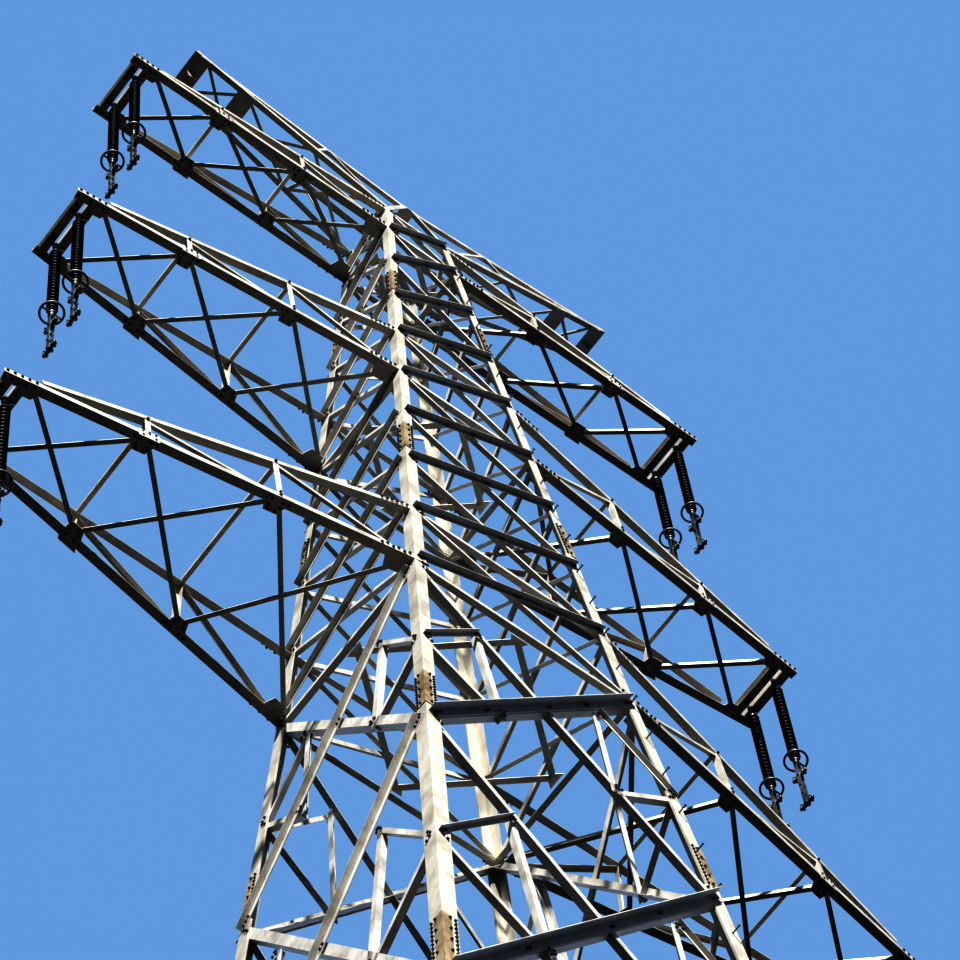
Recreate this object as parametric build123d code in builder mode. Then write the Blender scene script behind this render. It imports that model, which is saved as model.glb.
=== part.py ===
from build123d import *
import math
import os

# A double-circuit lattice tower of a power line, at half its real size, in mm.
# X runs along the crossarms, Y along the line and Z up. The origin lies on the
# ground, in the middle of the four feet.

# Body: the legs are angles whose heels are the corners of a tapered tower.
lower_arm_height = 24000.0
lower_arm_depth = 907.0
lower_bays = (927.0, 886.0, 807.0)
middle_arm_depth = 892.0
upper_bays = (803.0, 861.0, 780.0)
upper_arm_depth = 526.0
base_bays = (2368.0, 3170.0, 4300.0, 5900.0)
waist_half_x = 800.0
waist_half_y = 666.0
upper_taper_x = 0.0699
upper_taper_y = 0.0582
lower_taper_x = 0.0812
lower_taper_y = 0.0676
upper_leg_thickness = 7.0
lower_leg_thickness = 14.0
# Flange and thickness of each length of leg from the ground up, and how far
# its top lies above the lowest crossarm.
leg_lengths = (
    (150.0, lower_leg_thickness, -12000.0),
    (125.0, lower_leg_thickness, -5500.0),
    (110.0, lower_leg_thickness, -2250.0),
    (90.0, upper_leg_thickness, 2000.0),
    (80.0, upper_leg_thickness, 5320.0),
)
top_leg_flange = 70.0

# Bracing of the body's four sides, thinner above the lowest crossarm than below it.
upper_brace_thickness = 3.5
lower_brace_thickness = 6.0
upper_brace = 46.0
# Flange of the diagonals in each bay below the lowest crossarm, from the ground up.
lower_braces = (80.0, 80.0, 70.0, 60.0, 60.0)
lower_strut = 60.0
outer_strut = 80.0
outer_strut_end_gap = 12.0
brace_clearance = 7.0
bay_gap = 50.0
frame_gap = 0.3

# Feet: square plates on the footings, with a shoe inside each leg.
foot_plate = 400.0
foot_plate_thickness = 30.0
foot_shoe_flange = 130.0
foot_shoe_thickness = 12.0
foot_shoe_height = 380.0
lowest_joint = 470.0
anchor_spacing = 290.0
anchor_hole_radius = 13.0

# Crossarms, from the lowest up: reach from the tower's middle to the tip.
arm_reaches = (3360.0, 2938.0, 2533.0)
arm_tip_half = 255.0
arm_stations = (0.33, 0.65)
chord_flange = 70.0
chord_thickness = 5.0
top_chord_flange = 54.0
arm_brace = 32.0
arm_brace_thickness = 4.0
arm_post = 38.0
tip_beam_width = 92.0
tip_beam_gap = 30.0
tip_beam_lip = 40.0
tip_beam_thickness = 5.0

# Peak and earth-wire arms.
peak_height = 503.0
peak_half_x = 57.0
peak_half_y = 181.0
earth_arm_reach = 1905.0
earth_arm_rise = 900.0
earth_tip_half = 147.0
earth_chord = 40.0
earth_chord_thickness = 5.0
earth_stations = (0.37, 0.72)
earth_brace = 24.0
earth_plate_length = 150.0
earth_plate_thickness = 8.0
earth_lug_height = 70.0
earth_hole_radius = 11.0

# Hanging lugs, and the pin that each insulator string swings on.
string_half_spacing = 125.0
lug_top = 150.0
lug_bottom = 50.0
lug_height = 62.0
lug_thickness = 10.0
pin_drop = 38.0
pin_radius = 9.0
pin_clearance = 0.1
ear_gap = 2.0
ear_thickness = 6.0
ear_radius = 18.0
yoke_drop = 44.0
yoke_height = 16.0

# Insulator strings, measured down from the pin.
rod_top = 130.0
rod_length = 980.0
shed_radius = 34.0
cap_radius = 15.0
cap_length = 70.0
ring_radius = 84.0
ring_wall = 8.0
ring_height = 10.0
ring_lift = 50.0
spoke_width = 10.0
link_offset = 15.0
link_thickness = 5.0
link_width = 30.0
upper_clamp_drop = 1330.0
conductor_spacing = 370.0
clamp_length = 130.0
clamp_height = 44.0
clamp_tail = 14.0
conductor_radius = 7.0

# Small round pieces that repeat are made with few sides.
pin_sides = 8
ring_sides = 12

LEGS = {"left_front": (-1, -1), "right_front": (1, -1), "right_rear": (1, 1), "left_rear": (-1, 1)}
SIDES = {"front": (0, -1), "right": (1, 0), "rear": (0, 1), "left": (-1, 0)}
ARM_NAMES = ("lower", "middle", "upper")

# Heights of the joints, from the ground up.
upper_steps = (lower_arm_depth, *lower_bays, middle_arm_depth, *upper_bays, upper_arm_depth)
upper_levels = [lower_arm_height]
for step in upper_steps:
    upper_levels.append(upper_levels[-1] + step)
lower_levels = [lower_arm_height]
for step in base_bays:
    lower_levels.insert(0, lower_levels[0] - step)
lower_levels.insert(0, lowest_joint)
top_height = upper_levels[-1]
arm_bottoms = (upper_levels[0], upper_levels[4], upper_levels[8])
arm_tops = (upper_levels[1], upper_levels[5], upper_levels[9])
tip_band = 2 * tip_beam_width + tip_beam_gap

os.makedirs("parts", exist_ok=True)


def half_x(z):
    """Half the tower's width to the heels of its legs, at a height."""
    taper = lower_taper_x if z < lower_arm_height else upper_taper_x
    return waist_half_x - taper * (z - lower_arm_height)


def half_y(z):
    """Half the tower's depth to the heels of its legs, at a height."""
    taper = lower_taper_y if z < lower_arm_height else upper_taper_y
    return waist_half_y - taper * (z - lower_arm_height)


def leg_wall(z):
    """Thickness of the legs that the bracing at a height lies on."""
    return lower_leg_thickness if z < lower_arm_height else upper_leg_thickness


def between(start, end, share):
    """A point on the line from start to end."""
    return tuple(a + (b - a) * share for a, b in zip(start, end))


def angle_outline(flange, thickness):
    """The cross-section of an angle, with its heel at the start."""
    return ((0, 0), (flange, 0), (flange, thickness),
            (thickness, thickness), (thickness, flange), (0, flange))


def corner_angle(sx, sy, flange, thickness, inset, z_low, z_high):
    """A length of angle along a corner of the tower, cut level at both ends."""
    x = half_x(z_low) - inset
    y = half_y(z_low) - inset
    below = (z_low + z_high) / 2 < lower_arm_height
    lean_x = lower_taper_x if below else upper_taper_x
    lean_y = lower_taper_y if below else upper_taper_y
    with BuildSketch(Plane.XY.offset(z_low)) as profile:
        with BuildLine():
            Polyline([(sx * (x - u), sy * (y - v)) for u, v in angle_outline(flange, thickness)],
                     close=True)
        make_face()
    along = Vector(-sx * lean_x, -sy * lean_y, 1)
    extrude(profile.sketch, amount=(z_high - z_low) * along.length, dir=along.normalized())


def angle_bar(start, end, first, second, flange, thickness):
    """An angle from start to end: its flanges run from the heel towards first and second."""
    run = Vector(*end) - Vector(*start)
    section = Plane(origin=start, z_dir=run)

    def across(direction):
        local = section.to_local_coords(Vector(*start) + Vector(*direction))
        flat = Vector(local.X, local.Y, 0)
        return flat / flat.length

    a = across(first)
    b = across(second)
    with BuildSketch(section) as profile:
        with BuildLine():
            Polyline([(a.X * u + b.X * v, a.Y * u + b.Y * v)
                      for u, v in angle_outline(flange, thickness)], close=True)
        make_face()
    extrude(profile.sketch, amount=run.length)


def lattice(plane, thickness, bars):
    """Angles that lie on one plane: a flat strip each, with a flange that stands up from it.

    Each bar is its start, its end, its width, and how far the flange stops short of its
    ends. A flat bar has no such length."""
    with BuildSketch(plane) as profile:
        add([strip(start, end, width, 0, 0) for start, end, width, stop in bars])
    extrude(profile.sketch, amount=thickness)
    for size in sorted({width for start, end, width, stop in bars if stop}):
        aside = (size - thickness) / 2
        with BuildSketch(plane.offset(thickness)) as profile:
            add([strip(start, end, thickness, aside, stop)
                 for start, end, width, stop in bars if stop and width == size])
        extrude(profile.sketch, amount=size - thickness)


def strip(start, end, width, aside, stop):
    """A flat bar in a plane, moved aside from its line and stopped short at both ends."""
    dx = end[0] - start[0]
    dy = end[1] - start[1]
    length = math.hypot(dx, dy)
    x = (start[0] + end[0]) / 2 - dy / length * aside
    y = (start[1] + end[1]) / 2 + dx / length * aside
    angle = math.degrees(math.atan2(dy, dx))
    return Location((x, y, 0), (0, 0, angle)) * Rectangle(length - 2 * stop, width, mode=Mode.PRIVATE)


def side_plane(side, z_low, z_high, depth):
    """The inner plane of one side of the tower, a depth in from the heels of its legs."""
    nx, ny = SIDES[side]
    low = Vector(nx * half_x(z_low), ny * half_y(z_low), z_low)
    high = Vector(nx * half_x(z_high), ny * half_y(z_high), z_high)
    along = Vector(ny, -nx, 0)
    inward = along.cross(high - low)
    plane = Plane(origin=low, x_dir=along, z_dir=inward)
    return plane.offset(depth)


def side_half(side, z):
    """Half the width of a side at a height, to the heels."""
    return half_y(z) if SIDES[side][0] else half_x(z)


def side_bracing(side, levels, widths, struts, strut_width, thickness):
    """The bracing of one side between its legs: crossed diagonals in each bay, and level struts."""
    z_low = levels[0]
    z_high = levels[-1]
    nx, ny = SIDES[side]
    drift = (half_x(z_low) - half_x(z_high)) if nx else (half_y(z_low) - half_y(z_high))
    slope = math.hypot(1, drift / (z_high - z_low))
    wall = leg_wall(z_low)

    def bar(first, second, width):
        ends = []
        for hand, z in (first, second):
            inset = wall + brace_clearance + width / 2
            ends.append((hand * (side_half(side, z) - inset), (z - z_low) * slope))
        lean = abs(ends[1][0] - ends[0][0]) / math.dist(*ends)
        return (*ends, width, width / lean)

    bars = []
    for low, high, width in zip(levels, levels[1:], widths):
        bars.append(bar((-1, low), (1, high), width))
        bars.append(bar((1, low), (-1, high), width))
    for level in struts:
        bars.append(bar((-1, level), (1, level), strut_width))
    lattice(side_plane(side, z_low, z_high, wall / slope), thickness, bars)


def strut_outside(side, z):
    """The outer half of a double strut: an angle across the outside of two legs, top flange outward."""
    nx, ny = SIDES[side]
    top = z + outer_strut / 2
    span = side_half(side, top) - outer_strut_end_gap
    start, end = [(nx * half_x(top) + hand * abs(ny) * span, ny * half_y(top) + hand * abs(nx) * span, top)
                  for hand in (-1, 1)]
    down = (nx * lower_taper_x, ny * lower_taper_y, -1)
    angle_bar(start, end, down, (nx, ny, 0), outer_strut, lower_brace_thickness)


def feet():
    """Base plates on the footings, each with an angle shoe inside the leg."""
    for sx, sy in LEGS.values():
        with BuildSketch() as profile:
            with Locations((sx * half_x(0), sy * half_y(0))):
                Rectangle(foot_plate, foot_plate)
                with GridLocations(anchor_spacing, anchor_spacing, 2, 2):
                    Circle(anchor_hole_radius, mode=Mode.SUBTRACT)
        extrude(profile.sketch, amount=foot_plate_thickness)
        corner_angle(sx, sy, foot_shoe_flange, foot_shoe_thickness, lower_leg_thickness,
                     foot_plate_thickness, foot_shoe_height)


def leg(sx, sy):
    """One leg, from its base plate to the top frame, in bolted lengths."""
    low = foot_plate_thickness
    for flange, thickness, above in leg_lengths:
        high = lower_arm_height + above
        if low < lower_arm_height < high:
            corner_angle(sx, sy, flange, thickness, 0, low, lower_arm_height)
            low = lower_arm_height
        corner_angle(sx, sy, flange, thickness, 0, low, high)
        low = high
    corner_angle(sx, sy, top_leg_flange, upper_leg_thickness, 0, low, top_height)


def level_frame(z, strut_width, strut_thickness):
    """A diamond of flat struts that ties the middles of the four sides, with a plate at each corner."""
    size = upper_brace
    bottom = z - strut_width / 2
    inset = leg_wall(z) + strut_thickness + size + frame_gap
    x = half_x(bottom + strut_thickness) - inset
    y = half_y(bottom + strut_thickness) - inset
    corners = [(x, 0), (0, y), (-x, 0), (0, -y)]
    bars = [(a, b, size, None) for a, b in zip(corners, corners[1:] + corners[:1])]
    for hand in (-1, 1):
        bars.append(((hand * x, -size), (hand * x, size), 2 * size, None))
        bars.append(((-size, hand * y), (size, hand * y), 2 * size, None))
    lattice(Plane.XY.offset(bottom), strut_thickness, bars)


def arm_points(number, hand, sy):
    """Root, tip and upper root of one side of a crossarm, on the heels of its chords."""
    low = arm_bottoms[number]
    high = arm_tops[number]
    root = (hand * half_x(low), sy * half_y(low), low)
    tip = (hand * arm_reaches[number], sy * arm_tip_half, low)
    upper_root = (hand * half_x(high), sy * half_y(high), high)
    return root, tip, upper_root


def arm_bottom(number, hand):
    """The level frame of a crossarm: two chords, crossed bracing and the beams at the tip."""
    low = arm_bottoms[number]
    reach = arm_reaches[number]
    corners = []
    for sy in (-1, 1):
        root, tip, upper_root = arm_points(number, hand, sy)
        rise = Vector(*upper_root) - Vector(*root)
        angle_bar(between(root, tip, -0.05), tip, (0, -sy, 0), rise, chord_flange, chord_thickness)
    inner_end = (reach - tip_band - root[0] * hand) / (reach - root[0] * hand)
    for share in (0, *arm_stations, inner_end):
        x, y, z = between(root, tip, share)
        corners.append((x, y - chord_thickness - arm_brace / 2 - 2))
    bars = []
    for (x0, y0), (x, y) in zip(corners, corners[1:]):
        bars.append(((x, -y), (x, y), arm_brace, arm_brace))
        bars.append(((x0, -y0), (x, y), arm_brace, None))
        bars.append(((x0, y0), (x, -y), arm_brace, None))
    lattice(Plane.XY.offset(low + chord_thickness), arm_brace_thickness, bars)
    for i in range(2):
        far = hand * (reach - i * (tip_beam_width + tip_beam_gap))
        near = far - hand * tip_beam_width
        tip_beam(far, near, low)


def tip_beam(far, near, z):
    """A channel across the tip of a crossarm, open at the top."""
    width = abs(far - near)
    t = tip_beam_thickness
    with BuildSketch(Plane.XZ.offset(-arm_tip_half)) as profile:
        with Locations(((far + near) / 2, z + tip_beam_lip / 2)):
            Rectangle(width, tip_beam_lip)
        with Locations(((far + near) / 2, z + tip_beam_lip / 2 + t / 2)):
            Rectangle(width - 2 * t, tip_beam_lip - t, mode=Mode.SUBTRACT)
    extrude(profile.sketch, amount=2 * arm_tip_half)


def arm_side(number, hand, sy):
    """One leaning side of a crossarm: its upper chord, posts and diagonals."""
    root, tip, upper_root = arm_points(number, hand, sy)
    rise = Vector(*upper_root) - Vector(*root)
    outward = (Vector(*tip) - Vector(*root)).cross(rise)
    if outward.Y * sy < 0:
        outward = outward * -1
    plane = Plane(origin=root, x_dir=Vector(*tip) - Vector(*root), z_dir=outward * -1)
    flat = [plane.to_local_coords(Vector(*p)) for p in (root, tip, upper_root)]
    low_end, tip_end, high_end = [(p.X, p.Y) for p in flat]
    inner = top_chord_flange / 2
    bars = []
    up = 1 if high_end[1] > 0 else -1
    previous = (arm_post, up * chord_flange / 2)
    for share in arm_stations:
        foot = (tip_end[0] * share, up * chord_flange / 2)
        head = between(high_end, tip_end, share)
        head = (foot[0], head[1] - up * inner)
        bars.append((foot, head, arm_post, inner))
        bars.append((head, previous, arm_brace, arm_post))
        previous = foot
    return plane, bars, outward


def arm_upper(number, hand):
    """The two leaning sides of a crossarm and the struts between its upper chords."""
    low = arm_bottoms[number]
    t = chord_thickness
    for sy in (-1, 1):
        root, tip, upper_root = arm_points(number, hand, sy)
        plane, bars, outward = arm_side(number, hand, sy)
        # The upper chord lies inside the lower one, and stops at the beams of the tip.
        clear = top_chord_flange + chord_thickness + 2 * arm_brace_thickness
        end_share = 1 - max(tip_band / math.dist(root, tip), clear / (arm_tops[number] - low))
        inward = outward.normalized() * -t
        start = Vector(*between(upper_root, tip, -0.05)) + inward
        end = Vector(*between(upper_root, tip, end_share)) + inward
        down = Vector(*root) - Vector(*upper_root)
        angle_bar(tuple(start), tuple(end), down, (0, -sy, 0), top_chord_flange, t)
        lattice(plane.offset(t), arm_brace_thickness, bars)
    for share in arm_stations:
        x, y, z = between(upper_root, tip, share)
        with BuildSketch(Plane.XY.offset(z - t - arm_brace_thickness)) as profile:
            with Locations((x, 0)):
                Rectangle(arm_brace, 2 * (y - 2 * t))
        extrude(profile.sketch, amount=arm_brace_thickness)


def arm(number, hand):
    """A whole crossarm, cut off where its chords meet the outer faces of the legs."""
    arm_bottom(number, hand)
    arm_upper(number, hand)
    low = arm_bottoms[number]
    leg_face = Plane(origin=(hand * half_x(low), 0, low), z_dir=(hand, 0, upper_taper_x))
    split(bisect_by=leg_face, keep=Keep.TOP)


def peak():
    """The narrow frame above the legs that carries the earth-wire arms."""
    ridge = top_height + peak_height
    for sx, sy in LEGS.values():
        foot = (sx * half_x(top_height), sy * half_y(top_height), top_height)
        head = (sx * peak_half_x, sy * peak_half_y, ridge)
        angle_bar(between(foot, head, -0.1), between(foot, head, 1.1), (-sx, 0, 0), (0, -sy, 0),
                  earth_chord, earth_chord_thickness)
    split(bisect_by=Plane.XY.offset(top_height), keep=Keep.TOP)
    split(bisect_by=Plane.XY.offset(ridge), keep=Keep.BOTTOM)
    with BuildSketch(Plane.XY.offset(ridge)) as profile:
        Rectangle(2 * peak_half_x, 2 * peak_half_y)
    extrude(profile.sketch, amount=earth_plate_thickness)


def earth_arm(hand):
    """An arm that rises from the top of the tower and carries an earth wire at its tip."""
    tip_z = top_height + earth_arm_rise
    size = earth_chord
    t = earth_chord_thickness
    for sy in (-1, 1):
        tip = (hand * earth_arm_reach, sy * earth_tip_half, tip_z)
        root = (hand * half_x(top_height), sy * half_y(top_height), top_height)
        head = (hand * peak_half_x, sy * peak_half_y, top_height + peak_height)
        angle_bar(between(root, tip, -0.1), tip, (0, -sy, 0), (0, 0, 1), size, t)
        angle_bar(between(head, tip, -0.1), between(head, tip, 0.97), (0, -sy, 0), (0, 0, -1), size, t)
        # The posts and the diagonal lie half a flange's thickness inside the chords' heels.
        inner_root, inner_head, inner_tip = [(x, y - sy * t / 2, z) for x, y, z in (root, head, tip)]
        for share in earth_stations:
            angle_bar(between(inner_root, inner_tip, share), between(inner_head, inner_tip, share),
                      (-hand, 0, 0), (0, -sy, 0), earth_brace, t)
        angle_bar(between(inner_root, inner_tip, 0.03),
                  between(inner_head, inner_tip, earth_stations[0] - 0.02),
                  (hand, 0, 0), (0, -sy, 0), earth_brace, t)
    run = Vector(tip[0] - root[0], 0, tip[2] - root[2])
    up = Vector(-hand * run.Z, 0, hand * run.X)
    floor = Plane(origin=(root[0], 0, root[2]), x_dir=run, z_dir=up)
    points = []
    for share in (0.05, *earth_stations, 0.93):
        x, y, z = between(root, tip, share)
        points.append((run.length * share, y - t - earth_brace / 2))
    bars = []
    for (u0, v0), (u, v) in zip(points, points[1:]):
        bars.append(((u0, -v0), (u, v), earth_brace, None))
        bars.append(((u0, v0), (u, -v), earth_brace, None))
    lattice(floor.offset(t), arm_brace_thickness, bars)
    for share in (earth_stations[1], 1 - earth_plate_length / 2 / run.length):
        x, y, z = between(root, tip, share)
        with BuildSketch(floor.offset(-earth_plate_thickness)) as profile:
            with Locations((run.length * share, 0)):
                Rectangle(earth_plate_length, 2 * y)
        extrude(profile.sketch, amount=earth_plate_thickness)
    peak_face = Plane(origin=root, z_dir=(hand * peak_height, 0, half_x(top_height) - peak_half_x))
    split(bisect_by=peak_face, keep=Keep.TOP)
    # A plate stands on edge under the tip, with the hole that the earth wire's shackle hangs in.
    slope = run.Z / run.X
    hole_x, hole_z = earth_hole(hand)
    with BuildSketch(Plane.XZ.offset(-earth_plate_thickness / 2)) as profile:
        with BuildLine():
            Polyline([(hole_x + dx, hole_z + earth_lug_height + slope * dx) for dx in (-50, 50)]
                     + [(hole_x + 25, hole_z - 25), (hole_x - 25, hole_z - 25)], close=True)
        make_face()
        with Locations((hole_x, hole_z)):
            Circle(earth_hole_radius, mode=Mode.SUBTRACT)
    extrude(profile.sketch, amount=earth_plate_thickness)


def earth_hole(hand):
    """Where the hole under an earth-wire arm's tip plate lies, along the arm and in height."""
    run_x = earth_arm_reach - half_x(top_height)
    tilt = math.atan2(earth_arm_rise, run_x)
    back = earth_plate_length / 2
    x = earth_arm_reach - back * math.cos(tilt)
    z = top_height + earth_arm_rise - back * math.sin(tilt)
    return hand * x, z - earth_plate_thickness / math.cos(tilt) - earth_lug_height


def lug_position(number, hand):
    """Where the strings of one crossarm swing: along the arm, and the pin's height."""
    x = hand * (arm_reaches[number] - tip_beam_width - tip_beam_gap / 2)
    return x, arm_bottoms[number] - pin_drop


def lugs():
    """Plates under the tip beams, each with the hole for a string's pin."""
    for number in range(3):
        for hand in (-1, 1):
            x, z = lug_position(number, hand)
            top = arm_bottoms[number]
            for sy in (-1, 1):
                y = sy * string_half_spacing
                with BuildSketch(Plane.XZ.offset(-y - lug_thickness / 2)) as profile:
                    with BuildLine():
                        Polyline((x - lug_top / 2, top), (x + lug_top / 2, top),
                                 (x + lug_bottom / 2, top - lug_height),
                                 (x - lug_bottom / 2, top - lug_height), close=True)
                    make_face()
                    with Locations((x, z)):
                        RegularPolygon(pin_radius + pin_clearance, pin_sides, major_radius=False,
                                       mode=Mode.SUBTRACT)
                extrude(profile.sketch, amount=lug_thickness)


def rods(number, hand):
    """The two polymer insulators of one crossarm tip."""
    x, z = lug_position(number, hand)
    for sy in (-1, 1):
        with BuildSketch(Plane.XY.offset(z - rod_top - rod_length)) as profile:
            with Locations((x, sy * string_half_spacing)):
                RegularPolygon(shed_radius, ring_sides)
        extrude(profile.sketch, amount=rod_length)


def hanger(x, y, z):
    """The clevis at the top of a string, its pin, and the cap of the insulator."""
    inner = lug_thickness / 2 + ear_gap
    outer = inner + ear_thickness
    r = ear_radius
    for start in (y - outer, y + inner):
        with BuildSketch(Plane.XZ.offset(-start - ear_thickness)) as profile:
            with BuildLine():
                Polyline([(x - r, z - yoke_drop - yoke_height), (x - r, z + r / 2), (x - r / 2, z + r),
                          (x + r / 2, z + r), (x + r, z + r / 2), (x + r, z - yoke_drop - yoke_height)],
                         close=True)
            make_face()
        extrude(profile.sketch, amount=ear_thickness)
    with BuildSketch(Plane.XZ.offset(-y - outer - ear_thickness)) as profile:
        with Locations((x, z)):
            RegularPolygon(pin_radius, pin_sides)
    extrude(profile.sketch, amount=2 * (outer + ear_thickness))
    with BuildSketch(Plane.XY.offset(z - yoke_drop - yoke_height)) as profile:
        with Locations((x, y)):
            Rectangle(2 * r, 2 * outer)
    extrude(profile.sketch, amount=yoke_height)
    with BuildSketch(Plane.XY.offset(z - rod_top)) as profile:
        with Locations((x, y)):
            RegularPolygon(cap_radius, pin_sides)
    extrude(profile.sketch, amount=rod_top - yoke_drop - yoke_height)


def hardware(x, y, z):
    """The lower end of a string: cap, grading ring, links and two conductor clamps."""
    rod_end = z - rod_top - rod_length
    with BuildSketch(Plane.XY.offset(rod_end - cap_length)) as profile:
        with Locations((x, y)):
            RegularPolygon(cap_radius, pin_sides)
    extrude(profile.sketch, amount=cap_length)
    with BuildSketch(Plane.XY.offset(rod_end - cap_length + ring_lift)) as profile:
        with Locations((x, y)):
            RegularPolygon(ring_radius, ring_sides)
            RegularPolygon(ring_radius - ring_wall, ring_sides, mode=Mode.SUBTRACT)
            Rectangle(2 * ring_radius - ring_wall, spoke_width)
    extrude(profile.sketch, amount=ring_height)
    lowest = z - upper_clamp_drop - conductor_spacing
    link_top = rod_end - cap_length
    for side in (-1, 1):
        with BuildSketch(Plane.YZ.offset(x + side * link_offset - link_thickness / 2)) as profile:
            with Locations((y, (link_top + lowest) / 2)):
                Rectangle(link_width, link_top - lowest + 2 * cap_radius)
        extrude(profile.sketch, amount=link_thickness)
    with BuildSketch(Plane.XY.offset(link_top - cap_radius)) as profile:
        with Locations((x, y)):
            Rectangle(2 * link_offset, link_width)
    extrude(profile.sketch, amount=cap_radius)
    for drop in (upper_clamp_drop, upper_clamp_drop + conductor_spacing):
        clamp(x, y, z - drop)


def clamp(x, y, z):
    """A boat-shaped conductor clamp between the links, bored along the line."""
    half = clamp_length / 2
    width = 2 * link_offset - link_thickness
    with BuildSketch(Plane.YZ.offset(x - width / 2)) as profile:
        with BuildLine():
            Polyline((y - half, z + clamp_tail), (y - half, z - clamp_tail),
                     (y - half / 2, z - clamp_height / 2), (y + half / 2, z - clamp_height / 2),
                     (y + half, z - clamp_tail), (y + half, z + clamp_tail),
                     (y + half / 2, z + clamp_height / 2), (y - half / 2, z + clamp_height / 2), close=True)
        make_face()
    extrude(profile.sketch, amount=width)
    with BuildSketch(Plane.XZ.offset(-y - half)) as profile:
        with Locations((x, z)):
            Circle(conductor_radius)
    extrude(profile.sketch, amount=clamp_length, mode=Mode.SUBTRACT)


def write(piece, label):
    piece.label = label
    export_step(piece, "parts/" + label + ".step")


for name, (sx, sy) in LEGS.items():
    with BuildPart() as corner_leg:
        leg(sx, sy)
    write(corner_leg.part, "leg_" + name)

upper_joints = [upper_levels[0] + bay_gap, *upper_levels[1:-1], top_height - bay_gap / 2]
lower_joints = [*lower_levels[:-1], lower_arm_height - bay_gap]
upper_braces = [upper_brace] * (len(upper_joints) - 1)
for side in SIDES:
    with BuildPart() as upper_side:
        tied = arm_bottoms if SIDES[side][0] else (*arm_bottoms, *arm_tops[:2], upper_joints[-1])
        side_bracing(side, upper_joints, upper_braces, tied, upper_brace, upper_brace_thickness)
    write(upper_side.part, "bracing_upper_" + side)
    with BuildPart() as lower_side:
        side_bracing(side, lower_joints, lower_braces, lower_joints[1:-1], lower_strut, lower_brace_thickness)
        for z in lower_joints[1:-1]:
            strut_outside(side, z)
    write(lower_side.part, "bracing_lower_" + side)

with BuildPart() as foot_plates:
    feet()
write(foot_plates.part, "feet")

with BuildPart() as frames:
    for z in arm_bottoms:
        level_frame(z, upper_brace, upper_brace_thickness)
    for z in lower_joints[1:-1]:
        level_frame(z, lower_strut, lower_brace_thickness)
write(frames.part, "level_frames")

for number, name in enumerate(ARM_NAMES):
    for hand, hand_name in ((-1, "left"), (1, "right")):
        label = name + "_arm_" + hand_name
        with BuildPart() as crossarm:
            arm(number, hand)
        write(crossarm.part, label)
        x, z = lug_position(number, hand)
        with BuildPart() as polymer:
            rods(number, hand)
        write(polymer.part, label + "_insulators")
        with BuildPart() as metal:
            for sy in (-1, 1):
                hanger(x, sy * string_half_spacing, z)
                hardware(x, sy * string_half_spacing, z)
        write(metal.part, label + "_string_fittings")

with BuildPart() as hang_plates:
    lugs()
write(hang_plates.part, "string_lugs")

with BuildPart() as peak_frame:
    peak()
write(peak_frame.part, "peak_frame")

for hand, hand_name in ((-1, "left"), (1, "right")):
    with BuildPart() as horn:
        earth_arm(hand)
    write(horn.part, "earth_arm_" + hand_name)
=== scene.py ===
import math

import bmesh
import bpy
from mathutils import Matrix, Vector


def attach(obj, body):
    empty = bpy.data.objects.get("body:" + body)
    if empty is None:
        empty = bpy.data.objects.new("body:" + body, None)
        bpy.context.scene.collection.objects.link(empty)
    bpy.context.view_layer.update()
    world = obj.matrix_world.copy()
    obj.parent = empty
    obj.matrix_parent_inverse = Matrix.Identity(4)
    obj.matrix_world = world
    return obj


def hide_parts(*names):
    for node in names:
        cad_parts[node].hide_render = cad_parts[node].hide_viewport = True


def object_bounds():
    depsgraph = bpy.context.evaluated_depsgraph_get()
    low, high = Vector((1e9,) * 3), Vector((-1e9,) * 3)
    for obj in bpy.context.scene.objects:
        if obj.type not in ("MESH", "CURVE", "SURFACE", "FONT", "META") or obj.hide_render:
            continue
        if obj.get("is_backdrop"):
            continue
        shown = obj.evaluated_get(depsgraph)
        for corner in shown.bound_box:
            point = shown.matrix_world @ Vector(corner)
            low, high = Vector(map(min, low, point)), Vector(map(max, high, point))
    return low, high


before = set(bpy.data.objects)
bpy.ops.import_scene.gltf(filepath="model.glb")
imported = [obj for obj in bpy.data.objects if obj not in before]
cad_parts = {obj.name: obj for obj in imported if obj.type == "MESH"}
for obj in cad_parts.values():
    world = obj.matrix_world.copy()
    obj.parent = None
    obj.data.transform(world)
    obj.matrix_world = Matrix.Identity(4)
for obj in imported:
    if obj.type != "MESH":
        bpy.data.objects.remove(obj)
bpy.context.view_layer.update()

# The tower's own sizes in metres, as the solids have them. Heights run up from the feet.
WAIST = 24.0
# Heights of the bays: above the waist from there up, below it from there down.
STEPS = (0.907, 0.927, 0.886, 0.807, 0.892, 0.803, 0.861, 0.780, 0.526)
BASE_STEPS = (2.368, 3.170, 4.300, 5.900)
LOWEST_JOINT = 0.470
# Half the width and half the depth at the waist, and how much of each goes with a metre of height.
WAIST_HALF = (0.800, 0.666)
UPPER_TAPER = (0.0699, 0.0582)
LOWER_TAPER = (0.0812, 0.0676)
# Thickness of the legs' angles. The bars inside the legs lie against them.
UPPER_LEG_WALL = 0.007
LOWER_LEG_WALL = 0.014
# Crossarms: how far they reach, half their depth at the tip, and where along them the posts stand.
REACHES = (3.360, 2.938, 2.533)
TIP_HALF = 0.255
STATIONS = (0.33, 0.65)
# Strings: where the pins are, where the insulator starts below them, and how far down the clamps are.
STRING_BACK = 0.107
STRING_HALF = 0.125
PIN_DROP = 0.038
ROD_TOP = 0.130
ROD_LENGTH = 0.980
ROD_END = ROD_TOP + ROD_LENGTH
CLAMP_DROPS = (1.330, 1.700)
BORE = 0.007
# Feet: the anchor bolts' places and the top of the base plates.
ANCHOR_HALF = 0.145
PLATE_TOP = 0.030

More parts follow.
